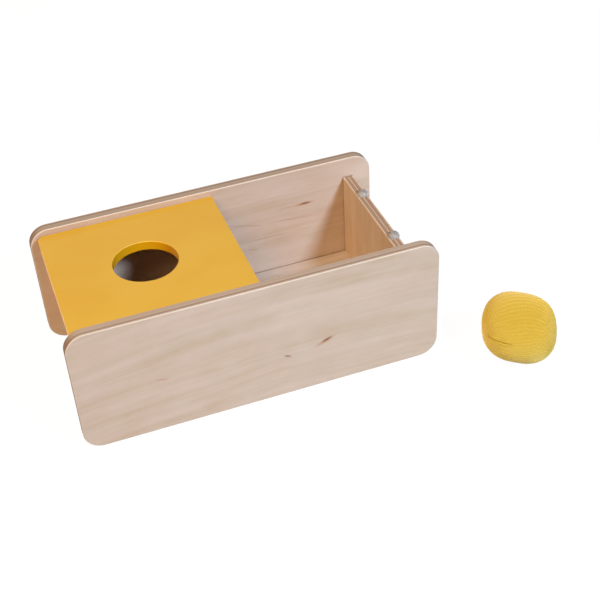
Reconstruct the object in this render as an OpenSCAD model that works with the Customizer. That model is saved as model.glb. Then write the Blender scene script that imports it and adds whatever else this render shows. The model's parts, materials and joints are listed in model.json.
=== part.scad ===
// Wooden posting box with a flip lid and a knitted ball, in millimetres.
// Two long side panels hold a floor, two end walls and a middle wall between them.
// A lid with a round hole turns half a turn on two pins, so it covers either half of the box.
// The origin is on the table under the middle of the box. The lid rests on the -X half.

/* [Side panels] */
// Length of each side panel
panel_len = 300; // [240:5:360]
// Height of each side panel, which stands on the table
panel_h = 113.5; // [90:0.5:140]
// Thickness of each side panel
panel_t = 9; // [8:0.5:12]
// Radius of the panels' four corners
panel_corner_r = 16; // [8:1:24]
// Radius of the panels' eased edges
panel_edge_r = 1; // [0.4:0.1:2]

/* [Floor and walls] */
// Clear width between the two side panels
inner_w = 134.5; // [110:0.5:170]
// Height of the floor's underside above the table
floor_lift = 6.8; // [3:0.1:12]
// Thickness of the floor
floor_t = 9; // [7:0.5:12]
// Thickness of the end walls and of the middle wall
wall_t = 9; // [7:0.5:12]
// Setback of each end wall's outer face from the panels' ends
wall_inset = 16.5; // [8:0.5:25]
// Corner radius of the floor and of the walls
board_corner_r = 0.8; // [0.7:0.1:3]
// Radius of the floor's and the walls' eased edges
board_edge_r = 0.5; // [0.2:0.1:0.6]

/* [Lid] */
// Thickness of the lid
lid_t = 8.5; // [6:0.5:10]
// Drop of the lid's top face below the panels' top edges
lid_drop = 5; // [2:0.2:8]
// Setback of the lid's free end from the panels' ends
lid_inset = 6.5; // [2:0.5:10]
// Length of lid beyond the pivot
lid_tail = 5.5; // [4:0.5:7]
// Gap between the lid and each side panel
lid_side_gap = 0.5; // [0.3:0.1:1]
// Diameter of the hole that the ball goes through
hole_d = 52.5; // [30:0.5:80]
// Corner radius at the lid's free end
lid_corner_r = 6; // [2:0.5:12]
// Corner radius at the lid's pivot end
lid_tail_corner_r = 1.2; // [0.8:0.1:3]
// Radius of the lid's eased edges
lid_edge_r = 0.6; // [0.3:0.1:0.7]

/* [Pivot pins] */
// Diameter of the two pivot pins
pin_d = 4; // [3:0.1:5]
// Length of pin held inside the lid
pin_seat = 16; // [10:1:25]
// Clearance on the radius where a pin turns in a side panel
pin_run_gap = 0.05; // [0.02:0.01:0.1]
// Glue film on the radius where a pin is held in the lid
pin_glue_gap = 0.02; // [0.01:0.01:0.05]

/* [Bumpers] */
// Diameter of the clear domed bumpers
bumper_d = 10; // [6:0.5:12]
// Height of the bumpers
bumper_h = 4.4; // [3:0.1:4.7]
// Distance between the two bumpers on one wall
bumper_pitch = 66.5; // [40:0.5:90]
// Distance of each pair of bumpers from the box's middle, to the back
bumper_shift = 2; // [-5:0.5:5]
// Distance of each bumper from its wall's middle, to the outside
bumper_out = 1; // [-2:0.5:2]
// Gap left between a bumper and the lid at rest
rest_gap = 0.3; // [0.1:0.1:0.5]

/* [Dowels] */
// Diameter of the hidden wood dowels
dowel_d = 5; // [4:0.5:6]
// Length of the dowels
dowel_len = 20; // [16:1:30]
// Glue film around a dowel, on the radius
dowel_glue_gap = 0.05; // [0.02:0.01:0.1]

/* [Knitted ball] */
// Diameter of the ball around its axis
ball_d = 61; // [45:1:75]
// Length of the ball along its axis
ball_len = 61; // [45:1:75]
// Thickness of the knitted cover
cover_t = 3; // [2.5:0.5:5]
// Distance of the ball's middle beyond the panels' ends
ball_beyond = 58.5; // [40:0.5:120]
// Distance of the ball's middle in front of the front panel
ball_before = 31; // [0:0.5:80]
// Turn of the ball's axis in plan, in degrees
ball_turn = -26; // [-90:1:90]
// Dip of the axis at its +X end, in degrees
ball_tilt = 0; // [-30:1:30]
// Angle by which both gathered ends lie off the axis, in degrees
gather_bend = 28; // [0:1:30]
// Depth of the flat that the soft ball sits on
ball_flat = 0.5; // [0.2:0.1:1]
// Diameter of the gathering yarn
yarn_d = 1.4; // [1:0.1:2]

/* [Hidden] */
$fn = 96;

// Every cut runs this far past the face it starts from
cut_over = 1;
// Share of the flat middle inside a board's corner that its eased edge laps over
edge_lap_share = 0.5;
// Wood left behind a blind bore in a side panel
bore_skin = 3;
// Space behind the end of a pin or a dowel in its bore
bore_end_gap = 1;
// Chamfer on the ends of pins and dowels
rod_chamfer = 0.5;
// Dowel places along a wall's height, and along half the floor's length
wall_dowel_shares = [0.22, 0.78];
floor_dowel_shares = [-0.72, 0, 0.72];
// Roundness of the ball's outline: 1 is a true ellipse, less is squarer
ball_round_share = 0.88;
// Steps along the ball's outline
ball_steps = 48;
// Side of the ball that the gathered ends lie towards, in degrees round its axis from below
gather_side = -108;
// Radius and depth of the dimple where each end of the ball is drawn in
dimple_r = 7;
dimple_depth = 2;
// Radius of the ring of yarn in each dimple, and its gap from the knitting
yarn_ring_r = 2.4;
yarn_gap = 0.1;
// Gap between the cover and the stuffing
stuffing_gap = 0.3;

panel_mid_y = inner_w / 2 + panel_t / 2;
bore_depth = panel_t - bore_skin;
floor_top = floor_lift + floor_t;
floor_len = panel_len - 2 * wall_inset;
end_wall_x = floor_len / 2 - wall_t / 2;
lid_w = inner_w - 2 * lid_side_gap;
lid_top = panel_h - lid_drop;
lid_under = lid_top - lid_t;
lid_free_x = -(panel_len / 2 - lid_inset);
lid_len = lid_tail - lid_free_x;
lid_mid_x = (lid_tail + lid_free_x) / 2;
pivot_z = lid_top - lid_t / 2;
wall_top = lid_under - rest_gap - bumper_h;
wall_h = wall_top - floor_top;
dowel_in_panel = bore_depth - bore_end_gap;
dowel_in_board = dowel_len - dowel_in_panel;
floor_dowel_z = floor_lift + floor_t / 2;
ball_x = panel_len / 2 + ball_beyond;
ball_y = -(inner_w / 2 + panel_t + ball_before);
ball_mid_z = ball_d / 2 - ball_flat;
ball_power = 2 / ball_round_share;
gather_reach = pow(
    pow(cos(gather_bend) / (ball_len / 2), ball_power) + pow(sin(gather_bend) / (ball_d / 2), ball_power),
    -1 / ball_power
);
dimple_mid = gather_reach - dimple_depth + dimple_r;
bumper_sphere_r = (pow(bumper_d / 2, 2) + pow(bumper_h, 2)) / (2 * bumper_h);

function wall_dowel_zs() = [for (s = wall_dowel_shares) floor_top + s * wall_h];
function floor_dowel_xs() = [for (s = floor_dowel_shares) s * floor_len / 2];

// Shared shapes

// A board's edge, rounded above and below. It starts at the board's flat middle and laps over it.
module edge_profile(t, edge_r, lap) {
    translate([-lap, 0]) square([lap, t]);
    translate([-lap, edge_r]) square([lap + edge_r, t - 2 * edge_r]);
    intersection() {
        translate([-lap, 0]) square([lap + edge_r, t]);
        union() {
            translate([0, edge_r]) circle(edge_r);
            translate([0, t - edge_r]) circle(edge_r);
        }
    }
}

// Flat board centred on the origin, lying on z = 0, with rounded corners and eased edges.
// The corners at -X have radius r_near and those at +X have radius r_far.
module eased_board(len, width, t, r_near, r_far, edge_r) {
    near_x = r_near - len / 2;
    far_x = len / 2 - r_far;
    lap = (min(r_near, r_far) - edge_r) * edge_lap_share;
    linear_extrude(t) union() {
        translate([near_x, edge_r - width / 2]) square([far_x - near_x, width - 2 * edge_r]);
        translate([edge_r - len / 2, r_near - width / 2])
            square([r_near - edge_r, width - 2 * r_near]);
        translate([far_x, r_far - width / 2]) square([r_far - edge_r, width - 2 * r_far]);
        for (side = [-1, 1]) {
            translate([near_x, side * (width / 2 - r_near)]) circle(r_near - edge_r);
            translate([far_x, side * (width / 2 - r_far)]) circle(r_far - edge_r);
        }
    }
    // Long sides
    for (turn = [0, 180])
        rotate([0, 0, turn])
            translate([turn == 0 ? near_x : -far_x, width / 2 - edge_r, 0])
                rotate([90, 0, 90]) linear_extrude(far_x - near_x) edge_profile(t, edge_r, lap);
    // Ends
    translate([len / 2 - edge_r, width / 2 - r_far, 0])
        rotate([90, 0, 0]) linear_extrude(width - 2 * r_far) edge_profile(t, edge_r, lap);
    rotate([0, 0, 180]) translate([len / 2 - edge_r, width / 2 - r_near, 0])
        rotate([90, 0, 0]) linear_extrude(width - 2 * r_near) edge_profile(t, edge_r, lap);
    // Corners, each a quarter turn of the edge
    corners = [
        [far_x, width / 2 - r_far, 0, r_far],
        [near_x, width / 2 - r_near, 90, r_near],
        [near_x, r_near - width / 2, 180, r_near],
        [far_x, r_far - width / 2, 270, r_far]
    ];
    for (c = corners)
        translate([c[0], c[1], 0]) rotate([0, 0, c[2]])
            rotate_extrude(angle = 90) translate([c[3] - edge_r, 0]) edge_profile(t, edge_r, lap);
}

// Cutter for a round hole through a board lying on z = 0, with eased rims
module eased_hole(r, t, edge_r) {
    rotate_extrude() difference() {
        translate([0, -cut_over]) square([r + edge_r, t + 2 * cut_over]);
        translate([r, edge_r]) square([edge_r, t - 2 * edge_r]);
        translate([r + edge_r, edge_r]) circle(edge_r);
        translate([r + edge_r, t - edge_r]) circle(edge_r);
    }
}

// Round rod from z = 0 upwards, chamfered at both ends
module rod(d, len) {
    inner_r = d / 2 - rod_chamfer;
    rotate_extrude() polygon([
        [0, 0], [inner_r, 0], [d / 2, rod_chamfer],
        [d / 2, len - rod_chamfer], [inner_r, len], [0, len]
    ]);
}

// Points +Z across the box, to the back where side is 1 and to the front where it is -1
module toward(side) {
    rotate([-90 * side, 0, 0]) children();
}

// Blind bore in a side panel's inner face
module panel_bore(side, x, z, r) {
    translate([x, side * (inner_w / 2 - cut_over), z]) toward(side)
        cylinder(r = r, h = bore_depth + cut_over);
}

// Blind bore in the end of a floor or wall, for a dowel
module board_bore(side, x, z) {
    depth = dowel_in_board + bore_end_gap;
    translate([x, side * (inner_w / 2 - depth), z]) toward(side)
        cylinder(d = dowel_d + 2 * dowel_glue_gap, h = depth + cut_over);
}

// One dowel, half in a side panel and half in the board beside it
module dowel(side, x, z) {
    translate([x, side * (inner_w / 2 - dowel_in_board), z]) toward(side) rod(dowel_d, dowel_len);
}

module side_panel(side) {
    color("#d6c0ae") difference() {
        translate([0, side * panel_mid_y, panel_h / 2]) rotate([90, 0, 0])
            translate([0, 0, -panel_t / 2])
                eased_board(panel_len, panel_h, panel_t, panel_corner_r, panel_corner_r, panel_edge_r);
        panel_bore(side, 0, pivot_z, pin_d / 2 + pin_run_gap);
        for (x = [-end_wall_x, 0, end_wall_x], z = wall_dowel_zs())
            panel_bore(side, x, z, dowel_d / 2 + dowel_glue_gap);
        for (x = floor_dowel_xs())
            panel_bore(side, x, floor_dowel_z, dowel_d / 2 + dowel_glue_gap);
    }
}

module cross_wall(x) {
    color("#c89a6c") difference() {
        translate([x - wall_t / 2, 0, floor_top + wall_h / 2]) rotate([90, 0, 90])
            eased_board(inner_w, wall_h, wall_t, board_corner_r, board_corner_r, board_edge_r);
        for (side = [-1, 1], z = wall_dowel_zs()) board_bore(side, x, z);
    }
}

module wall_dowels(x) {
    color("#d9bd8f") for (side = [-1, 1], z = wall_dowel_zs()) dowel(side, x, z);
}

module bumper(end, side) {
    color("#c9c6c4")
        translate([end * (end_wall_x + bumper_out), bumper_shift + side * bumper_pitch / 2, wall_top])
        rotate_extrude() intersection() {
            square([bumper_d / 2, bumper_h]);
            translate([0, bumper_h - bumper_sphere_r]) circle(bumper_sphere_r);
        }
}

module pivot_pin(side) {
    pin_len = pin_seat + lid_side_gap + bore_depth - bore_end_gap;
    color("#b9bcc0") translate([0, side * (lid_w / 2 - pin_seat), pivot_z]) toward(side)
        rod(pin_d, pin_len);
}

// Half outline of a bulging body of revolution, from one end to the other
function bulge(r, half_len) = [
    for (i = [0:ball_steps])
        let (a = 180 * i / ball_steps, c = cos(a))
            [r * pow(sin(a), ball_round_share), half_len * sign(c) * pow(abs(c), ball_round_share)]
];

// Puts a body that stands on the Z axis down as the ball lies
module place_ball() {
    translate([ball_x, ball_y, ball_mid_z]) rotate([0, 90 + ball_tilt, ball_turn]) children();
}

// Points +Z from the ball's middle to the gathered end at +X where end is 1, or at -X where it is -1
module toward_gather(end) {
    place_ball() rotate([0, end > 0 ? gather_bend : 180 - gather_bend, gather_side]) children();
}

// Sub-parts

module front_panel() {
    side_panel(-1);
}

module back_panel() {
    side_panel(1);
}

module floor_panel() {
    color("#cfb096") difference() {
        translate([0, 0, floor_lift])
            eased_board(floor_len, inner_w, floor_t, board_corner_r, board_corner_r, board_edge_r);
        for (side = [-1, 1], x = floor_dowel_xs()) board_bore(side, x, floor_dowel_z);
    }
}

module left_wall() {
    cross_wall(-end_wall_x);
}

module middle_wall() {
    cross_wall(0);
}

module right_wall() {
    cross_wall(end_wall_x);
}

module left_wall_dowels() {
    wall_dowels(-end_wall_x);
}

module middle_wall_dowels() {
    wall_dowels(0);
}

module right_wall_dowels() {
    wall_dowels(end_wall_x);
}

module floor_dowels() {
    color("#d9bd8f") for (side = [-1, 1], x = floor_dowel_xs()) dowel(side, x, floor_dowel_z);
}

module left_front_bumper() {
    bumper(-1, -1);
}

module left_back_bumper() {
    bumper(-1, 1);
}

module right_front_bumper() {
    bumper(1, -1);
}

module right_back_bumper() {
    bumper(1, 1);
}

module flip_lid() {
    bore_len = pin_seat + bore_end_gap;
    color("#e6ae46") difference() {
        translate([lid_mid_x, 0, lid_under]) difference() {
            eased_board(lid_len, lid_w, lid_t, lid_corner_r, lid_tail_corner_r, lid_edge_r);
            eased_hole(hole_d / 2, lid_t, lid_edge_r);
        }
        for (side = [-1, 1])
            translate([0, side * (lid_w / 2 - bore_len), pivot_z]) toward(side)
                cylinder(d = pin_d + 2 * pin_glue_gap, h = bore_len + cut_over);
    }
}

module front_pivot_pin() {
    pivot_pin(-1);
}

module back_pivot_pin() {
    pivot_pin(1);
}

module ball_cover() {
    color("#e4b843") difference() {
        intersection() {
            place_ball() rotate_extrude() difference() {
                polygon(bulge(ball_d / 2, ball_len / 2));
                polygon(bulge(ball_d / 2 - cover_t, ball_len / 2 - cover_t));
            }
            translate([ball_x - ball_d, ball_y - ball_d, 0]) cube(2 * ball_d);
        }
        for (end = [-1, 1]) toward_gather(end) translate([0, 0, dimple_mid]) sphere(dimple_r);
    }
}

module ball_stuffing() {
    inset = cover_t + stuffing_gap;
    color("#f2ead8") place_ball() rotate_extrude()
        polygon(bulge(ball_d / 2 - inset, ball_len / 2 - inset));
}

module ball_gather_yarn() {
    seat_r = dimple_r - yarn_d / 2 - yarn_gap;
    ring_mid = dimple_mid - sqrt(pow(seat_r, 2) - pow(yarn_ring_r, 2));
    color("#dba92f") for (end = [-1, 1]) toward_gather(end) translate([0, 0, ring_mid])
        rotate_extrude() translate([yarn_ring_r, 0]) circle(d = yarn_d);
}

front_panel();
back_panel();
floor_panel();
left_wall();
middle_wall();
right_wall();
left_wall_dowels();
middle_wall_dowels();
right_wall_dowels();
floor_dowels();
left_front_bumper();
left_back_bumper();
right_front_bumper();
right_back_bumper();
flip_lid();
front_pivot_pin();
back_pivot_pin();
ball_cover();
ball_stuffing();
ball_gather_yarn();
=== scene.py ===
# %% [markdown]
# This lesson dresses a wooden posting box for a baby: two birch plywood side panels with a floor
# and three cross walls between them, a yellow lid that flips over on two pins, clear bumpers that
# the lid lands on, and a knitted ball to post through the lid's hole. The boards, the lid and the
# pins come ready made from the frame, at their real size, so they only need their finishes here.
# The ball is modelled here, because a plain solid can't show knitting.

# %% Load the frame
import json
import math

import bpy
import numpy as np
from mathutils import Matrix, Vector

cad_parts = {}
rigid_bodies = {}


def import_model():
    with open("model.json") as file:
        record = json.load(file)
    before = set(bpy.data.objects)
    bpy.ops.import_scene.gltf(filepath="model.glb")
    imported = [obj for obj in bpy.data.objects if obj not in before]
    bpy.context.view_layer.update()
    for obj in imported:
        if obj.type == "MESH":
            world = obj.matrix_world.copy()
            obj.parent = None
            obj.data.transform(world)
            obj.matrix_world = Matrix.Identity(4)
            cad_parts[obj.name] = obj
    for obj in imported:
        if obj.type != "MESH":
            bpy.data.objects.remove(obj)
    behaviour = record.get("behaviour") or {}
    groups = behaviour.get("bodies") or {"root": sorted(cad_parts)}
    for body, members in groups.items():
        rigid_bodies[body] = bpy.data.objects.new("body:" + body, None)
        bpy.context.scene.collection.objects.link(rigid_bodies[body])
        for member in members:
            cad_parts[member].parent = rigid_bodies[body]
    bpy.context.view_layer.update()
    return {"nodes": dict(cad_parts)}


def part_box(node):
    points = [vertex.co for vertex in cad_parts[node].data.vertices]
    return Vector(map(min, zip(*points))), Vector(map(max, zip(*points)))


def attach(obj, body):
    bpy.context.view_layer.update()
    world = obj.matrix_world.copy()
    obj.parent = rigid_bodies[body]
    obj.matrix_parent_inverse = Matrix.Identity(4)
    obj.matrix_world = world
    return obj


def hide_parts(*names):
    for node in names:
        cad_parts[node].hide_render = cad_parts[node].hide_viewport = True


for leftover in list(bpy.data.objects):
    bpy.data.objects.remove(leftover)
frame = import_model()
nodes = frame["nodes"]
scene = bpy.context.scene
scene.view_settings.view_transform = "Standard"

# %% [markdown]
# The camera could be aimed by eye, but a fitted one is surer. Lines along the panels' edges were
# followed in the picture, and the camera was solved so that the real edges land on them. It looks
# down on the box from the front left, with a long lens and a little roll.

# %% Place the camera
camera_place = Vector((-0.18381, -0.74671, 0.66200))
camera_gaze = Vector((0.23852, 0.74044, -0.62838)).normalized()
camera_roll = math.radians(-3.47)
camera_lens_mm, camera_film_mm = 70.68, 36


def add_object(name, data):
    """Puts a new object with this data into the scene."""
    added = bpy.data.objects.new(name, data)
    scene.collection.objects.link(added)
    return added


level = camera_gaze.cross(Vector((0, 0, 1))).normalized()
upright = level.cross(camera_gaze)
camera_right = level * math.cos(camera_roll) + upright * math.sin(camera_roll)
camera_up = camera_right.cross(camera_gaze)
camera = add_object("camera", bpy.data.cameras.new("camera"))
camera.data.lens = camera_lens_mm
camera.data.sensor_width = camera_film_mm
turned = Matrix((camera_right, camera_up, -camera_gaze)).transposed()
camera.matrix_world = Matrix.Translation(camera_place) @ turned.to_4x4()
scene.camera = camera
print("camera is", round(camera_place.length, 3), "m from the origin")

# %% [markdown]
# Every finish here is worked out from position, with no pictures. Wiring such nodes by hand hides
# the sum that they stand for, so a small class wraps a socket and lets Python's own operators add
# the Math nodes: a line such as 1 - mask * 0.5 then reads as what it does. One method makes every
# other kind of node, and the short methods after it name the kinds that are used most.

# %% Write shader sums as Python
class Wire:
    """One value in a node tree. Arithmetic on it adds Math nodes to the same tree."""

    def __init__(self, finish, socket):
        self.finish = finish
        self.socket = socket

    def math(self, operation, *values):
        return self.finish.node("ShaderNodeMath", {"operation": operation}, dict(enumerate(values)))

    def __add__(self, other):
        return self.math("ADD", self, other)

    def __radd__(self, other):
        return self.math("ADD", other, self)

    def __sub__(self, other):
        return self.math("SUBTRACT", self, other)

    def __rsub__(self, other):
        return self.math("SUBTRACT", other, self)

    def __mul__(self, other):
        return self.math("MULTIPLY", self, other)

    def __rmul__(self, other):
        return self.math("MULTIPLY", other, self)

    def __truediv__(self, other):
        return self.math("DIVIDE", self, other)

    def __rtruediv__(self, other):
        return self.math("DIVIDE", other, self)

    def __abs__(self):
        return self.math("ABSOLUTE", self)

    def floor(self):
        return self.math("FLOOR", self)

    def fract(self):
        return self.math("FRACT", self)

    def clip(self):
        return self.finish.node("ShaderNodeClamp", {}, {"Value": self})

    def rise(self, low, high):
        """0 up to low, 1 from high on, and an even slope with soft ends between them."""
        plugs = {"Value": self, "From Min": low, "From Max": high}
        return self.finish.node("ShaderNodeMapRange", {"interpolation_type": "SMOOTHSTEP"}, plugs)


class Finish:
    """A node tree, and the one method that adds nodes to it."""

    def __init__(self, tree):
        self.tree = tree
        tree.nodes.clear()

    def node(self, kind, settings=None, plugs=None, out=0):
        made = self.tree.nodes.new(kind)
        for name, value in (settings or {}).items():
            if name == "stops":
                self.set_stops(made.color_ramp.elements, value)
            else:
                setattr(made, name, value)
        for name, value in (plugs or {}).items():
            if isinstance(value, Wire):
                self.tree.links.new(value.socket, made.inputs[name])
            else:
                made.inputs[name].default_value = value
        return Wire(self, made.outputs[out]) if len(made.outputs) else None

    @staticmethod
    def set_stops(elements, stops):
        while len(elements) < len(stops):
            elements.new(1)
        for element, (place, colour) in zip(elements, stops):
            element.position = place
            element.color = colour

    def ramp(self, place, stops):
        """A colour picked from a row of colours by its place along the row."""
        return self.node("ShaderNodeValToRGB", {"stops": stops}, {"Fac": place})

    def mix(self, share, first, second, how="MIX"):
        """A colour between two others."""
        settings = {"data_type": "RGBA", "blend_type": how}
        return self.node("ShaderNodeMix", settings, {0: share, 6: first, 7: second}, 2)

    def coordinates(self, kind="Object"):
        """Where a point of the piece lies, as three numbers, or with "Normal" which way it faces."""
        vector = self.node("ShaderNodeTexCoord", out=kind)
        parts = self.node("ShaderNodeSeparateXYZ", {}, {0: vector}).socket.node
        return [Wire(self, socket) for socket in parts.outputs]

    def noise(self, x, y, z, detail=2.0, rough=0.5):
        """Noise at a point, about 0.5 on average, with lumps one unit across."""
        place = self.node("ShaderNodeCombineXYZ", {}, {0: x, 1: y, 2: z})
        plugs = {"Vector": place, "Scale": 1.0, "Detail": detail, "Roughness": rough}
        return self.node("ShaderNodeTexNoise", {}, plugs, "Fac")

    def bump(self, height, strength, depth):
        """A facing that is tilted by a relief of this depth, in metres."""
        return self.node("ShaderNodeBump", {}, {"Strength": strength, "Distance": depth, "Height": height})

    def close(self, plugs):
        """Ends the tree with one surface."""
        surface = self.node("ShaderNodeBsdfPrincipled", {}, plugs)
        self.node("ShaderNodeOutputMaterial", {}, {"Surface": surface})
        return len(self.tree.nodes)


def new_material(name):
    material = bpy.data.materials.new(name)
    material.use_nodes = True
    return material, Finish(material.node_tree)


def colour(red, green, blue):
    """A colour picked on the screen, 0 to 255, as the linear light that Blender works with."""
    shares = [value / 255 for value in (red, green, blue)]
    return tuple(s / 12.92 if s < 0.04045 else ((s + 0.055) / 1.055) ** 2.4 for s in shares) + (1,)


MM = 1000
print("a mid grey of 128 is", round(colour(128, 128, 128)[0], 3), "in linear light")

# %% [markdown]
# The picture was taken in a studio with one main lamp, high at the front right: the right wall
# throws a soft-edged shadow down the back panel, and every eased edge that faces up and forwards
# catches a bright line. The shade inside the box is warm. A sheet of white light from the sky alone
# would lose all this. So one cool, round lamp is the key, and a warm world and a wide, weak lamp at
# the left fill the shade, so that the two together are near white. The ball is lit evenly all round
# in the picture, so a small lamp with a narrow beam brightens its shaded side alone.

# %% Hang the lamps
key_direction = Vector((0.36, -0.71, 0.68))
side_direction = Vector((-0.45, -0.30, 0.85))
ball_direction = Vector((-0.95, -0.32, 0.08))
lamp_distance, snoot_distance = 2.0, 1.0
snoot_beam, snoot_width, snoot_blur = 0.06, 0.20, 0.6
key_width, side_width = 0.36, 1.40
key_colour = (0.52, 0.68, 0.86)
side_colour = (0.86, 0.62, 0.345)
ball_colour = (0.32, 0.64, 0.50)


def aim(lamp, direction, distance, target):
    """Stands a lamp off its target in some direction and turns it to shine there."""
    lamp.location = target + direction.normalized() * distance
    lamp.rotation_euler = direction.to_track_quat("Z", "Y").to_euler()
    print(lamp.name, round(lamp.data.energy, 1), "W at", distance, "m")


def round_lamp(name, direction, width, shade):
    """A round soft lamp. A white card that faces it renders in the lamp's own colour."""
    light = bpy.data.lights.new(name, "AREA")
    light.shape = "DISK"
    light.size = width
    light.energy = (math.pi * lamp_distance) ** 2
    light.color = shade
    aim(add_object(name, light), direction, lamp_distance, Vector())


def snoot_lamp(name, direction, target, shade):
    """A small lamp with a narrow beam, for one piece alone."""
    light = bpy.data.lights.new(name, "SPOT")
    light.spot_size = 2 * math.atan(snoot_beam / snoot_distance)
    light.spot_blend = snoot_blur
    light.shadow_soft_size = snoot_width / 2
    light.energy = (2 * math.pi * snoot_distance) ** 2
    light.color = shade
    aim(add_object(name, light), direction, snoot_distance, target)


round_lamp("key_lamp", key_direction, key_width, key_colour)
round_lamp("side_lamp", side_direction, side_width, side_colour)
snoot_lamp("ball_lamp", ball_direction, sum(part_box("ball_stuffing"), Vector()) / 2, ball_colour)

# %% [markdown]
# The object stands on white paper in a white room. A bright world would wash out the shade, so the
# world is white only to the eye, and dim and warm to the light that bounces about. The paper glows
# a little to the eye in the same way. It still darkens where the object stands between it and a
# lamp, because a share of it is plain matt paper.

# %% Lay the paper
fill_colour = (0.21, 0.15, 0.12, 1)
white = (1, 1, 1, 1)
paper_grey = (0.75, 0.75, 0.75, 1)
glow_strength, glow_share = 1.05, 0.92
table_size, table_gap = 12.0, 0.0002


def seen_ray(finish):
    """1 for rays that carry a picture to the eye: straight, mirrored or through something clear."""
    names = ("Is Camera Ray", "Is Glossy Ray", "Is Transmission Ray")
    straight, mirrored, through = [finish.node("ShaderNodeLightPath", out=name) for name in names]
    return (straight + mirrored + through).clip()


scene.world = bpy.data.worlds.new("studio")
scene.world.use_nodes = True
sky = Finish(scene.world.node_tree)
sky_colour = sky.mix(seen_ray(sky), fill_colour, white)
sky_light = sky.node("ShaderNodeBackground", {}, {"Color": sky_colour, "Strength": 1.0})
sky.node("ShaderNodeOutputWorld", {}, {"Surface": sky_light})

table_material, paper = new_material("white_paper")
matt = paper.node("ShaderNodeBsdfDiffuse", {}, {"Color": paper_grey})
glow = paper.node("ShaderNodeEmission", {}, {"Color": white, "Strength": glow_strength})
table_mix = paper.node("ShaderNodeMixShader", {}, {0: seen_ray(paper) * glow_share, 1: matt, 2: glow})
paper.node("ShaderNodeOutputMaterial", {}, {"Surface": table_mix})

half = table_size / 2
table_mesh = bpy.data.meshes.new("table")
table_corners = [(x * half, y * half, -table_gap) for x, y in ((-1, -1), (1, -1), (1, 1), (-1, 1))]
table_mesh.from_pydata(table_corners, [], [(0, 1, 2, 3)])
table_mesh.materials.append(table_material)
table = add_object("table", table_mesh)
print("table is", table_size, "m wide")

# %% [markdown]
# Birch plywood is five thin sheets of wood glued crosswise. Its face is pale and quiet: broad bands
# that drift between pink and straw, faint growth lines drawn out along the board, and a fine
# fibre that is felt more than seen. A photograph of a board could be wrapped on, but it would
# smear over the edges. A solid pattern is cut through by every face instead, as in real wood: the
# depth below the face picks the sheet, so the sheets show as stripes on each edge.

# %% Read a board's own directions
ply_count = 5


def board_directions(finish, axes, node):
    """Millimetres along the grain, across it and in from the low face, and how far a face is an edge
    or an end.

    axes names the board's grain, width and thickness directions, such as "XZY".
    """
    low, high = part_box(node)
    grain, width, thick = ["XYZ".index(letter) for letter in axes]
    place, facing = finish.coordinates(), finish.coordinates("Normal")
    along, across = place[grain] * MM, place[width] * MM
    depth = (place[thick] - low[thick]) * MM
    thickness = (high[thick] - low[thick]) * MM
    on_edge, on_end = 1 - abs(facing[thick]), abs(facing[grain])
    return along, across, depth, thickness, on_edge, on_end


def eased_corner(on_edge):
    """1 on the rounded corner between a face and an edge."""
    return on_edge.rise(0.04, 0.16) * (1 - on_edge.rise(0.45, 0.85))


def spindle(along, across, spot):
    """A soft spindle on the face, 1 in its middle: spot is its place, length, width and slope."""
    mid_along, mid_across, length, width, slope = spot
    cos, sin = math.cos(math.radians(slope)), math.sin(math.radians(slope))
    off_along, off_across = along - mid_along, across - mid_across
    lengthwise = (off_along * cos + off_across * sin) * (2 / length)
    crosswise = (off_across * cos - off_along * sin) * (2 / width)
    return (1 - lengthwise * lengthwise - crosswise * crosswise).clip()


print("sheets in each board:", ply_count)

# %% [markdown]
# The face tones come from noises of falling size, each stretched along the grain, summed and read
# off a row of birch colours. Rotary-cut birch shows wide arches, so the grain may lean and bend. The
# marks that make a board this board, such as a brown fleck on the front, are spindles at their own
# places, and a few broad, weak spindles carry painted shade.

# %% Draw the birch face
birch_tones = [
    (0.26, colour(223, 206, 194)), (0.44, colour(215, 195, 180)),
    (0.56, colour(208, 187, 168)), (0.76, colour(194, 169, 140)),
]
# This brown colours the pores, and on the back panel broad patches of painted shade.
pore_and_shade_brown = colour(178, 146, 124)
birch_blush = colour(254, 250, 248)
# Lumps in millimetres along and across the grain, then the noise's own shift, detail and roughness.
figure_noises = {
    "bands": (170, 11, 0, 2, 0.5),
    "growth": (140, 3.2, 40, 3, 0.6),
    "cloud": (26, 15, 60, 2, 0.5),
    "fibre": (9, 0.42, 80, 2, 0.6),
    "pores": (3.5, 0.3, 120, 1, 0.5),
    "blush": (42, 24, 160, 2, 0.5),
}
tone_shares = {"bands": 0.4, "growth": 0.25, "cloud": 0.25, "fibre": 0.1}
pore_share = 0.2
sheet_shift = 3.7
drift_length, drift_width, drift_reach = 90, 45, 10
mark_fray = 1.2


def birch_face(wood, along, across, ply, seed, bend, tint, marks):
    """The colour of a sheet's face, and the fibre and pores in it. bend leans and arches the grain."""
    layer = ply * sheet_shift + seed
    lean, arch = bend
    drift = wood.noise(along / drift_length, across / drift_width, layer, 1)
    level_across = across - along * lean + along * along * arch + (drift - 0.5) * drift_reach
    figure = {}
    for name, (length, width, shift, detail, rough) in figure_noises.items():
        figure[name] = wood.noise(along / length, level_across / width, layer + shift, detail, rough)
    fibre, pores = figure["fibre"], figure["pores"]

    tone = sum(figure[name] * share for name, share in tone_shares.items())
    face = wood.ramp(tone, birch_tones)
    face = wood.mix(pores.rise(0.66, 0.76) * pore_share, face, pore_and_shade_brown)
    blushed = wood.mix(1.0, face, birch_blush, "MULTIPLY")
    face = wood.mix(figure["blush"].rise(0.3, 0.7), face, blushed)
    first_sheet = 1 - ply.clip()
    for spot, strength, mark_colour in marks:
        mark = spindle(along, across + (fibre - 0.5) * mark_fray, spot)
        face = wood.mix(mark * first_sheet * strength, face, mark_colour)
    if tint:
        face = wood.mix(1.0, face, tint, "MULTIPLY")
    return face, fibre, pores


print("noises in a birch face:", list(figure_noises))
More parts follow.
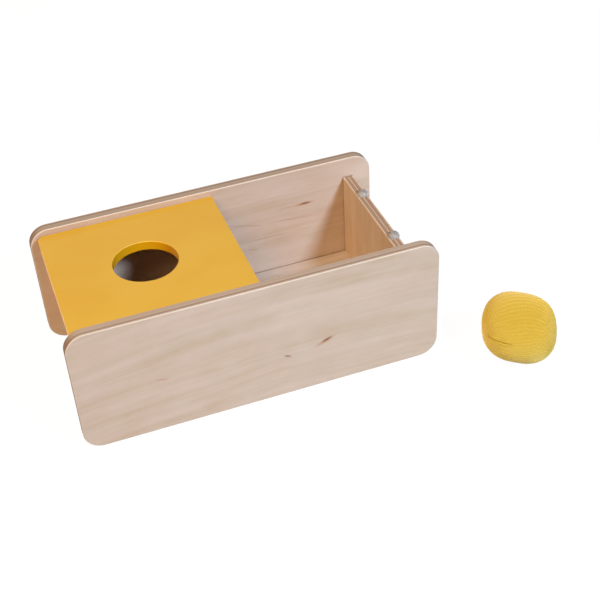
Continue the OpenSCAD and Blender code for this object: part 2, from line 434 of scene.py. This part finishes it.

# %% [markdown]
# An edge is darker than a face, because its wood is cut across: the sheets that lie crosswise
# show their ends there, one of them the darker, with a thin glue line beside each, and the ends of
# the side panels are darker still. The eased corners get a pale painted highlight, where they
# catch the lamps. Where a floor or wall meets a side panel, a little glue has drawn in and left a
# reddish line.

# %% Cut the birch edges
birch_edge = colour(160, 145, 132)
birch_end = colour(114, 84, 66)
birch_glue = colour(100, 48, 28)
birch_painted_highlight = colour(240, 234, 230)
panel_axes = "XZY"
panel_low, panel_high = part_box("back_panel")
pith_lump = 0.5
painted_highlight_share, panel_end_share = 0.35, 0.7
joint_width, joint_fade, joint_share = 2.0, 0.7, 0.75
wood_bump = (0.10, 0.0004)


def sheet_edges(wood, shade, ply, in_sheet, cut, pith, ends):
    """Stripes on an edge. ends is the darkest sheet, and how much the sheets' ends and the glue show."""
    dark_sheet, end_share, glue_share = ends
    crosswise = (ply * 0.5).fract() * 2
    darker = (1.2 - abs(ply - dark_sheet) * 0.5).clip()
    sheet_core = (0.5 - abs(in_sheet - 0.5)).rise(0.05, 0.25)
    cut_ends = crosswise * darker * sheet_core * cut * (0.6 + pith * 0.4) * end_share
    shade = wood.mix(cut_ends.clip(), shade, birch_end)
    glue = abs(in_sheet - 0.5).rise(0.30, 0.48) * cut
    return wood.mix(glue * glue_share, shade, birch_glue)


def birch(node, axes, seed, bend, edge_share, ends, tint=None, marks=()):
    """Finishes one board of the frame."""
    material, wood = new_material("birch_" + node)
    along, across, depth, thickness, on_edge, on_end = board_directions(wood, axes, node)
    sheet_place = depth * (ply_count / thickness)
    ply, in_sheet = sheet_place.floor(), sheet_place.fract()
    face, fibre, pores = birch_face(wood, along, across, ply, seed, bend, tint, marks)

    cut = on_edge.rise(0.05, 0.75)
    pith = wood.noise(along / pith_lump, across / pith_lump, depth / pith_lump, 2)
    shade = wood.mix(cut * edge_share, face, birch_edge)
    shade = sheet_edges(wood, shade, ply, in_sheet, cut, pith, ends)
    # Painted highlight: the eased corners are painted pale.
    shade = wood.mix(eased_corner(on_edge) * painted_highlight_share, shade, birch_painted_highlight)
    if axes == panel_axes:
        shade = wood.mix(on_end.rise(0.3, 0.95) * cut * panel_end_share, shade, birch_end)
    else:
        half_width = panel_low[1] * MM
        drawn_in = (abs(across) - (half_width - joint_width)).rise(0, joint_width * joint_fade)
        shade = wood.mix(drawn_in * joint_share, shade, birch_glue)

    rough = 0.50 + (fibre - 0.5) * 0.16 + cut * 0.1
    relief = wood.bump(fibre * 0.6 + pores * 0.4 + pith * cut * 0.8, *wood_bump)
    plugs = {"Base Color": shade, "Roughness": rough, "Normal": relief, "Specular IOR Level": 0.3}
    print(material.name, wood.close(plugs), "nodes")
    nodes[node].material_slots[0].material = material


print("each sheet is", round((panel_high[1] - panel_low[1]) * MM / ply_count, 2), "mm thick")

# %% [markdown]
# Now each board gets its own seed, lean, tint and marks, as no two boards are alike. A mark is given
# by its place on the board in millimetres, its length, width and slope, then its strength and
# colour. The back panel looks warmer under the lid, and browner above it and at its left end, so
# three broad, weak marks of painted shade come first there. They are a guess, because light thrown
# back by the lid could look the same.

# %% Finish the boards
fleck_brown = colour(122, 66, 36)
fleck_orange = colour(184, 122, 78)
painted_shade_warm = colour(228, 172, 134)
front_marks = [
    ((50.8, 44.7, 22, 4.4, 21), 0.55, fleck_orange), ((52.6, 46.2, 11, 2.8, 21), 0.9, fleck_brown),
    ((19.2, 39.8, 8, 2.6, -25), 0.65, fleck_brown), ((-82.5, 51.2, 14, 1.8, -11), 0.45, fleck_orange),
]
back_marks = [
    # The first three back marks are painted shade: warm under the lid, brown at the left end and above the
    # lid.
    ((-61, 52, 126, 116, 0), 0.2, painted_shade_warm), ((-150, 62, 110, 220, 0), 0.4, pore_and_shade_brown),
    ((-72, 113, 200, 26, 0), 0.45, pore_and_shade_brown),
    ((87.4, 77.4, 22, 3.6, 1.7), 0.7, fleck_orange), ((88.6, 77.6, 12, 2.2, 1.7), 0.75, fleck_brown),
    ((72, 77.3, 24, 1.6, 0), 0.4, fleck_orange), ((33, 69, 38, 2.0, -14), 0.5, pore_and_shade_brown),
    ((75, 64.6, 50, 2.0, -3.5), 0.5, pore_and_shade_brown), ((50, 51.2, 50, 2.0, 0), 0.5, pore_and_shade_brown),
    ((37.5, 42, 12, 1.8, -10), 0.55, pore_and_shade_brown), ((87, 51.2, 16, 2.0, 0), 0.25, fleck_orange),
]
front_tint, floor_tint, wall_tint = colour(229, 231, 233), colour(228, 233, 241), colour(255, 247, 233)
straight, arched = (0.02, 0.0), (0.04, 0.00045)

birch("front_panel", panel_axes, 2.0, arched, 0.7, (1, 0.75, 0.15), front_tint, front_marks)
birch("back_panel", panel_axes, 11.0, straight, 1.0, (3, 0.75, 0.2), None, back_marks)
birch("floor_panel", "XYZ", 23.0, straight, 0.8, (1, 0.5, 0.25), floor_tint)
for place, seed in (("left", 31.0), ("middle", 37.0), ("right", 43.0)):
    birch(place + "_wall", "ZYX", seed, straight, 0.5, (2, 1.0, 1.0), wall_tint)

# %% [markdown]
# The lid is sprayed with a satin yellow. Paint looks flat when it is one colour, so a large, weak
# cloud shifts its tone, a fine ripple stands for the sprayed skin, and the board's grain still
# lifts it a little. The shine is even, which lets the white room show as a pale film on the top.
# The cut walls of the hole and the edges, which face sideways, are painted a deeper yellow as
# painted shade, and the eased corners get a pale painted highlight.

# %% Paint the lid
paint_yellow = colour(203, 162, 42)
paint_deep = colour(199, 153, 28)
paint_side_shade = colour(230, 166, 11)
paint_painted_highlight = colour(240, 198, 88)
cloud_share, paint_painted_highlight_share = 0.6, 0.5
ripple_lump = 1.6
paint_bump = (0.08, 0.0004)


def lid_paint():
    material, paint = new_material("yellow_satin_paint")
    along, across, depth, _, on_edge, _ = board_directions(paint, "XYZ", "flip_lid")
    cloud = paint.noise(along / 60, across / 40, depth / 30, 2)
    ripple = paint.noise(along / ripple_lump, across / ripple_lump, depth / ripple_lump, 1)
    grain = paint.noise(along / 30, across / 0.9, depth / 3, 2)
    shade = paint.mix(cloud.rise(0.3, 0.7) * cloud_share, paint_yellow, paint_deep)
    # Painted shade: faces that turn sideways take a deeper yellow.
    shade = paint.mix(on_edge.rise(0.3, 0.9), shade, paint_side_shade)
    # Painted highlight: the eased corners take a pale yellow.
    shade = paint.mix(eased_corner(on_edge) * paint_painted_highlight_share, shade, paint_painted_highlight)
    rough = 0.36 + (cloud - 0.5) * 0.10 + (ripple - 0.5) * 0.06
    relief = paint.bump(ripple * 0.6 + grain * 0.5, *paint_bump)
    plugs = {"Base Color": shade, "Roughness": rough, "Normal": relief, "Specular IOR Level": 0.5}
    print(material.name, paint.close(plugs), "nodes")
    nodes["flip_lid"].material_slots[0].material = material


lid_paint()

# %% [markdown]
# The small pieces come next. The bumpers are clear soft plastic: light goes in, bends and picks up
# a grey veil from tiny scratches. Their tops are painted darker and their thin rims paler, as
# painted shade and painted highlight. The pins are drawn steel, with rings of fine scratches round
# them, and the dowels are turned hardwood with short fibres along them.

# %% Finish the bumpers, pins and dowels
bumper_names = [f"{end}_{side}_bumper" for end in ("left", "right") for side in ("front", "back")]
pin_names = ["front_pivot_pin", "back_pivot_pin"]
dowel_names = ["left_wall_dowels", "middle_wall_dowels", "right_wall_dowels", "floor_dowels"]
gel_rim_highlight, gel_rim_highlight_veiled = colour(232, 228, 225), colour(206, 200, 197)
gel_top_shade, gel_top_shade_speck = colour(166, 160, 161), colour(204, 199, 199)
veil_lump, speck_lump = 1.2, 0.7
steel_dark, steel_bright = colour(176, 178, 181), colour(206, 207, 208)
beech_pale, beech_deep, beech_flake = colour(219, 184, 146), colour(196, 154, 114), colour(150, 106, 74)
steel_bump, beech_bump = (0.1, 0.0001), (0.2, 0.0002)


def clear_plastic():
    material, gel = new_material("clear_soft_plastic")
    along, across, up, tall, _, _ = board_directions(gel, "XYZ", bumper_names[0])
    veil = gel.noise(along / veil_lump, across / veil_lump, up / veil_lump, 2)
    specks = gel.noise(along / speck_lump, across / speck_lump, up / speck_lump, 2)
    # Painted highlight on the rims and painted shade on the tops, shared out by height.
    rim = gel.mix(veil.rise(0.35, 0.65), gel_rim_highlight, gel_rim_highlight_veiled)
    top = gel.mix(specks.rise(0.4, 0.6), gel_top_shade, gel_top_shade_speck)
    shade = gel.mix((up / tall).rise(0.3, 0.9), rim, top)
    gel.close({
        "Base Color": shade, "Roughness": 0.28 + veil * 0.2, "IOR": 1.48,
        "Transmission Weight": 0.5, "Specular IOR Level": 0.5,
    })
    return material


def drawn_steel():
    material, steel = new_material("drawn_steel")
    along, across, up, _, _, _ = board_directions(steel, "YXZ", pin_names[0])
    scratch = steel.noise(along / 0.12, across / 4, up / 4, 2)
    shade = steel.mix(scratch, steel_dark, steel_bright)
    relief = steel.bump(scratch, *steel_bump)
    rough = 0.26 + scratch * 0.18
    steel.close({"Base Color": shade, "Roughness": rough, "Normal": relief, "Metallic": 1.0})
    return material


def turned_dowel():
    material, beech = new_material("turned_beech")
    along, across, up, _, _, _ = board_directions(beech, "YXZ", dowel_names[0])
    fibre = beech.noise(along / 6, across / 0.4, up / 0.4, 2)
    flake = beech.noise(along / 1.5, across / 0.25, up / 0.25, 1)
    shade = beech.mix(fibre.rise(0.3, 0.7), beech_pale, beech_deep)
    shade = beech.mix(flake.rise(0.62, 0.72) * 0.6, shade, beech_flake)
    relief = beech.bump(fibre, *beech_bump)
    beech.close({"Base Color": shade, "Roughness": 0.55 + flake * 0.1, "Normal": relief})
    return material


small_finishes = [
    (bumper_names, clear_plastic()), (pin_names, drawn_steel()), (dowel_names, turned_dowel()),
]
for names, material in small_finishes:
    for name in names:
        nodes[name].material_slots[0].material = material
    print(material.name, "on", len(names), "nodes")

# %% [markdown]
# The ball is a strip of garter stitch: a strip whose ridges run from end to end, sewn into a tube,
# stuffed, and drawn together with a yarn at both ends. Real loops of yarn could be swept one by
# one, but that makes a huge mesh. A relief on a fine grid gives the same look: one direction of the
# grid follows the ridges and the other counts stitches. Where the two drawn ends lie comes from the
# rings of yarn in the frame, so the knitting meets them.

# %% Find the ball and its drawn ends
stuffing_low, stuffing_high = (np.array(corner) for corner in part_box("ball_stuffing"))
ball_mid = (stuffing_low + stuffing_high) / 2
ring_points = np.array([vertex.co for vertex in nodes["ball_gather_yarn"].data.vertices])
at_far_end = ring_points[:, 0] > ball_mid[0]
ring_mids = [ring_points[at_far_end].mean(axis=0), ring_points[~at_far_end].mean(axis=0)]


def unit(vector):
    return vector / np.linalg.norm(vector, axis=-1, keepdims=True)


far_end, near_end = unit(ring_mids[0] - ball_mid), unit(ring_mids[1] - ball_mid)
ball_axis = unit(far_end - near_end)
slack_side = unit(far_end + near_end)
third_side = np.cross(ball_axis, slack_side)
end_bend = math.acos(float(far_end @ ball_axis))
print("ball middle:", np.round(ball_mid * MM, 1), "mm")
print("ends lie", round(math.degrees(end_bend), 1), "degrees off the axis")

# %% [markdown]
# The strip is tighter on the side that the ends lie towards. Sliding every direction on the ball
# towards that side, by the stereographic rule that keeps small squares square, moves both ends
# there and packs the ridges closer, with no kink anywhere.

# %% Lay the strip round the ball
ridge_count, stitch_count = 40, 32
ridge_steps, stitch_steps = 10, 6
columns, rows = ridge_count * ridge_steps, stitch_count * stitch_steps
slide = math.tan((math.pi / 2 - end_bend) / 2)


def angle_grid(column_count, row_count):
    """Angles round the axis and from end to end, at every point of a grid but its two tips."""
    turn_line = np.arange(column_count) * (2 * math.pi / column_count)
    fall_line = np.arange(1, row_count) * (math.pi / row_count)
    return np.meshgrid(turn_line, fall_line)


def round_directions(turn, fall):
    """Unit directions for those angles on a ball whose ends lie on its axis."""
    ring = np.cos(turn)[..., None] * slack_side + np.sin(turn)[..., None] * third_side
    return np.cos(fall)[..., None] * ball_axis + np.sin(fall)[..., None] * ring


def strip_directions(turn, fall):
    """The same directions after the slide."""
    plain = round_directions(turn, fall)
    toward = plain @ slack_side
    scale = (1 + toward) + slide**2 * (1 - toward)
    slid = ((1 + toward) - slide**2 * (1 - toward)) / scale
    aside = plain - toward[..., None] * slack_side
    return slid[..., None] * slack_side + (2 * slide / scale)[..., None] * aside


turn, fall = angle_grid(columns, rows)
facing = strip_directions(turn, fall)
print("grid:", columns, "by", rows, "with", columns * rows, "cells")

# %% [markdown]
# A stuffed ball is not a true sphere. It is a little square along its axis, it bulges where the
# stuffing is packed, and it dips where the ends are drawn in. Each bulge or hollow has a direction
# and a share of the radius.

# %% Bulge the stuffed ball
ball_radius = 29.6 / MM
ball_power = 2 / 0.88
dimple_depth = 0.6 / MM
dimple_spread = 0.14
lump_spread = 0.2
lumps = [
    ((0.47, 0.43, 0.77), -0.041), ((-0.37, 0.74, 0.57), 0.060),
    ((-0.55, -0.42, -0.72), -0.058), ((0.49, -0.76, -0.41), 0.059),
]


def outline_reach(direction):
    """How far the stuffed form reaches in a direction, before the stitches."""
    lengthwise = np.abs(direction @ ball_axis)
    around = np.sqrt(np.clip(1 - lengthwise**2, 0, 1))
    reach = ball_radius * (lengthwise**ball_power + around**ball_power) ** (-1 / ball_power)
    for toward, push in lumps:
        reach = reach * (1 + push * np.exp((direction @ unit(np.array(toward)) - 1) / lump_spread))
    for end in (far_end, near_end):
        angle = np.arccos(np.clip(direction @ end, -1, 1))
        reach = reach - dimple_depth * np.exp(-((angle / dimple_spread) ** 2))
    return reach


outline = outline_reach(facing)
print("ball reaches", round(outline.min() * MM, 1), "to", round(outline.max() * MM, 1), "mm")

# %% [markdown]
# In the relief each ridge is a soft roll, whose two flanks swing up and down by turns: the heads of
# one row of loops and the feet of the next, half a stitch apart. Hand knitting is never even, so the
# ridges sway a little and are fuller in some patches.

# %% Knit the ridges
ridge_height = 0.42 / MM
ridge_sway, sway_waves, sway_twist = 0.4, 2.3, 0.8
ridge_patch = 0.45
roll_share, flank_share = 0.8, 0.25
stitch_wander, height_wander = 0.25, 0.12
knit_fade = (0.12, 0.55)
knit_seed = 7
random = np.random.default_rng(knit_seed)


def smooth(value, low, high):
    share = np.clip((value - low) / (high - low), 0, 1)
    return share * share * (3 - 2 * share)


def loop_rows(turn, fall):
    """Relief of the loops, 0 between ridges and about 1 on the highest bead."""
    sway = ridge_sway * np.sin(sway_waves * fall + sway_twist * np.sin(2 * turn)) * np.sin(fall)
    ridge_place = turn * ridge_count / (2 * math.pi) + sway
    ridge = np.floor(ridge_place).astype(int) % ridge_count
    shift, _, fullness = random.uniform(-1, 1, (3, ridge_count))[:, ridge]
    stitch = fall * stitch_count / math.pi + stitch_wander * shift
    swing = np.cos(2 * math.pi * stitch)
    across = ridge_place % 1 - 0.5
    roll = np.cos(math.pi * across) ** 2
    flanks = swing * np.sin(2 * math.pi * across)
    patch = np.sin(3 * turn + 2 * fall) * np.sin(2 * turn - 5 * fall + 0.6)
    bead = roll_share * roll + flank_share * flanks
    return bead * (1 + height_wander * fullness) * (1 - ridge_patch * patch)


from_end = np.minimum(fall, math.pi - fall)
loops = loop_rows(turn, fall) * smooth(from_end, *knit_fade)
print("loops stand up to", round(loops.max() * ridge_height * MM, 2), "mm high")

# %% [markdown]
# Towards the drawn ends the ridges fade into pleats. A sewn seam runs from the near end along one
# ridge, with a low lip on either side. Last, the ball sits on a small flat, which a soft floor
# under all its points gives.

# %% Pleat and sew the ball
pleat_height, pleat_count = 0.12 / MM, 13
pleat_fade, pleat_start = (0.25, 0.75), (0.02, 0.12)
seam_turn = math.radians(10)
seam_depth, seam_half_width = 1.0 / MM, 0.7 / MM
seam_start, seam_stop = (math.pi * 0.58, math.pi * 0.67), (math.pi * 0.97, math.pi)
lip_height, lip_place = 0.4 / MM, 2.0 / MM
sit_softness = 0.35 / MM

pleats = np.cos(turn * pleat_count) * (1 - smooth(from_end, *pleat_fade)) * smooth(from_end, *pleat_start)
off_seam = np.angle(np.exp(1j * (turn - seam_turn))) * np.sin(fall) * ball_radius
seam_share = smooth(fall, *seam_start) * (1 - smooth(fall, *seam_stop))
seam = np.exp(-((off_seam / seam_half_width) ** 2)) * seam_share
lips = np.exp(-(((np.abs(off_seam) - lip_place) / seam_half_width) ** 2)) * seam_share
reach = outline + ridge_height * loops + pleat_height * pleats - seam_depth * seam + lip_height * lips
tips = [ball_mid + outline_reach(end[None])[:, None] * end for end in (far_end, near_end)]
ball_points = np.concatenate([(ball_mid + reach[..., None] * facing).reshape(-1, 3)] + tips)
ball_points[:, 2] = sit_softness * np.logaddexp(0, ball_points[:, 2] / sit_softness)
print("ball spans", np.round(np.ptp(ball_points, axis=0) * MM, 1), "mm")

# %% [markdown]
# The grid is closed with a fan at each end. It carries the height of the loops for its finish, so
# that the gaps between ridges can take a deeper colour as painted shade.

# %% Build the ball's mesh
tip_height = 0.3


def grid_faces(column_count, row_count):
    """Quads of a tube of rings, and the triangles that close it on two tips."""
    quads = []
    for row in range(row_count - 1):
        for column in range(column_count):
            step = (column + 1) % column_count
            start, below = row * column_count, (row + 1) * column_count
            quads.append((start + column, below + column, below + step, start + step))
    first_tip = column_count * row_count
    last = column_count * (row_count - 1)
    fans = [(first_tip, column, (column + 1) % column_count) for column in range(column_count)]
    fans += [(first_tip + 1, last + (c + 1) % column_count, last + c) for c in range(column_count)]
    return quads + fans


def new_piece(name, points, faces, material):
    mesh = bpy.data.meshes.new(name)
    mesh.from_pydata(np.asarray(points).tolist(), [], faces)
    mesh.polygons.foreach_set("use_smooth", [True] * len(mesh.polygons))
    mesh.materials.append(material)
    return add_object(name, mesh)


knit_material, knit = new_material("yellow_garter_knit")
ball = new_piece("knitted_ball_cover", ball_points, grid_faces(columns, rows - 1), knit_material)
# The seam's groove counts as low, so it takes the painted shade too.
heights = np.concatenate([(loops - seam).ravel(), [tip_height, tip_height]])
height_layer = ball.data.attributes.new("loop_height", "FLOAT", "POINT")
height_layer.data.foreach_set("value", heights.astype(np.float32))
print("ball faces:", len(ball.data.polygons))

# %% [markdown]
# Wool yarn scatters light among its fibres, so it has no hard shine but a soft sheen at grazing
# angles. Its colour is painted deeper down between the ridges and in the seam, as painted shade.
# Fine fibres make the bump.

# %% Colour the knitting
knit_crest = colour(198, 168, 52)
knit_gap_shade = colour(194, 160, 44)
knit_fuzz = colour(203, 177, 67)
fuzz_lump, patch_lump = 0.5, 14
fuzz_share, patch_share = 0.35, 0.3
knit_bump = (0.25, 0.0005)


def knit_finish():
    x, y, z = [part * MM for part in knit.coordinates()]
    height = knit.node("ShaderNodeAttribute", {"attribute_name": "loop_height"}, {}, "Fac")
    fuzz = knit.noise(x / fuzz_lump, y / fuzz_lump, z / fuzz_lump, 3)
    patch = knit.noise(x / patch_lump, y / patch_lump, z / patch_lump, 2)
    # Painted shade: the gaps between ridges take the deeper colour.
    shade = knit.mix(height.rise(0.0, 0.75), knit_gap_shade, knit_crest)
    fuzzed = fuzz.rise(0.4, 0.75) * fuzz_share + (patch - 0.5) * patch_share
    return knit.close({
        "Base Color": knit.mix(fuzzed, shade, knit_fuzz), "Roughness": 0.8 + fuzz * 0.15,
        "Normal": knit.bump(fuzz, *knit_bump), "Diffuse Roughness": 1.0,
        "Specular IOR Level": 0.2, "Sheen Weight": 0.25, "Sheen Roughness": 0.6,
    })


print("knit nodes:", knit_finish())
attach(ball, "ball")
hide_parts("ball_cover")

# %% [markdown]
# Inside is a wad of loose fibre, and in each drawn end lies a ring of two-ply yarn. Both have the
# same tangled finish, in their own colours and with lumps of their own size.

# %% Finish loose fibre and yarn
fibre_bump = (0.5, 0.0005)


def plain_fibre(name, pale, deep, lump):
    material, fibre = new_material(name)
    x, y, z = [part * (MM / lump) for part in fibre.coordinates()]
    tangle = fibre.noise(x, y, z, 3)
    fibre.close({
        "Base Color": fibre.mix(tangle.rise(0.35, 0.7), deep, pale), "Roughness": 0.85 + tangle * 0.1,
        "Normal": fibre.bump(tangle, *fibre_bump), "Sheen Weight": 0.25,
    })
    return material


stuffing_finish = plain_fibre("loose_stuffing", colour(242, 236, 224), colour(214, 204, 186), 1.5)
yarn_finish = plain_fibre("drawn_yarn", colour(224, 176, 56), colour(196, 142, 26), 0.6)
print("fibre finishes:", stuffing_finish.name, yarn_finish.name)

# %% [markdown]
# The wad is a coarse ball pushed in and out by a few waves. Each ring is two strands that wind round
# each other and close after a whole number of turns.

# %% Make the stuffing and the drawn yarn
wad_columns, wad_rows = 64, 33
wad_radius = float(np.min(stuffing_high - stuffing_low)) / 2
wad_share, wave_share = 0.93, 0.008
wave_count, wave_pace, wave_shift = 12, 4, 5
ring_radius, ring_sink = 1.6 / MM, 1.4 / MM
strand_radius, strand_offset = 0.36 / MM, 0.34 / MM
strand_twists = 6
strand_steps, strand_sides = 96, 8


def stuffing_wad():
    turn, fall = angle_grid(wad_columns, wad_rows)
    facing = round_directions(turn, fall)
    waves = np.zeros_like(turn)
    for wave in random.normal(0, 1, (wave_count, 3)):
        waves += np.sin(wave_pace * facing @ wave + wave_shift * wave[0])
    reach = wad_radius * (wad_share + wave_share * waves)
    tips = [ball_mid + wad_share * wad_radius * side * ball_axis[None] for side in (1, -1)]
    points = np.concatenate([(ball_mid + reach[..., None] * facing).reshape(-1, 3)] + tips)
    return new_piece("stuffing_wad", points, grid_faces(wad_columns, wad_rows - 1), stuffing_finish)


def drawn_rings():
    points, faces = [], []
    around = np.arange(strand_steps) * (2 * math.pi / strand_steps)
    rim = np.arange(strand_sides) * (2 * math.pi / strand_sides)
    for middle, outward in zip(ring_mids, (far_end, near_end)):
        side = unit(np.cross(outward, [0, 0, 1]))
        other = np.cross(outward, side)
        spoke = np.cos(around)[:, None] * side + np.sin(around)[:, None] * other
        for phase in (0, math.pi):
            twist = strand_twists * around + phase
            lean = np.cos(twist)[:, None] * spoke + np.sin(twist)[:, None] * outward
            lift = np.cos(twist)[:, None] * outward - np.sin(twist)[:, None] * spoke
            core = middle - ring_sink * outward + ring_radius * spoke + strand_offset * lean
            tube = np.cos(rim)[None, :, None] * lean[:, None] + np.sin(rim)[None, :, None] * lift[:, None]
            first = len(points)
            points += (core[:, None] + strand_radius * tube).reshape(-1, 3).tolist()
            for step in range(strand_steps):
                for corner in range(strand_sides):
                    near = first + step * strand_sides
                    far = first + (step + 1) % strand_steps * strand_sides
                    beside = (corner + 1) % strand_sides
                    faces.append((near + corner, near + beside, far + beside, far + corner))
    return new_piece("drawn_yarn_rings", points, faces, yarn_finish)


wad, rings = stuffing_wad(), drawn_rings()
inner_pieces = [(wad, "ball_stuffing", "stuffing"), (rings, "ball_gather_yarn", "yellow_yarn")]
for piece, node, slot in inner_pieces:
    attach(piece, "ball")
    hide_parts(node)
    print(piece.name, len(piece.data.polygons), "faces")
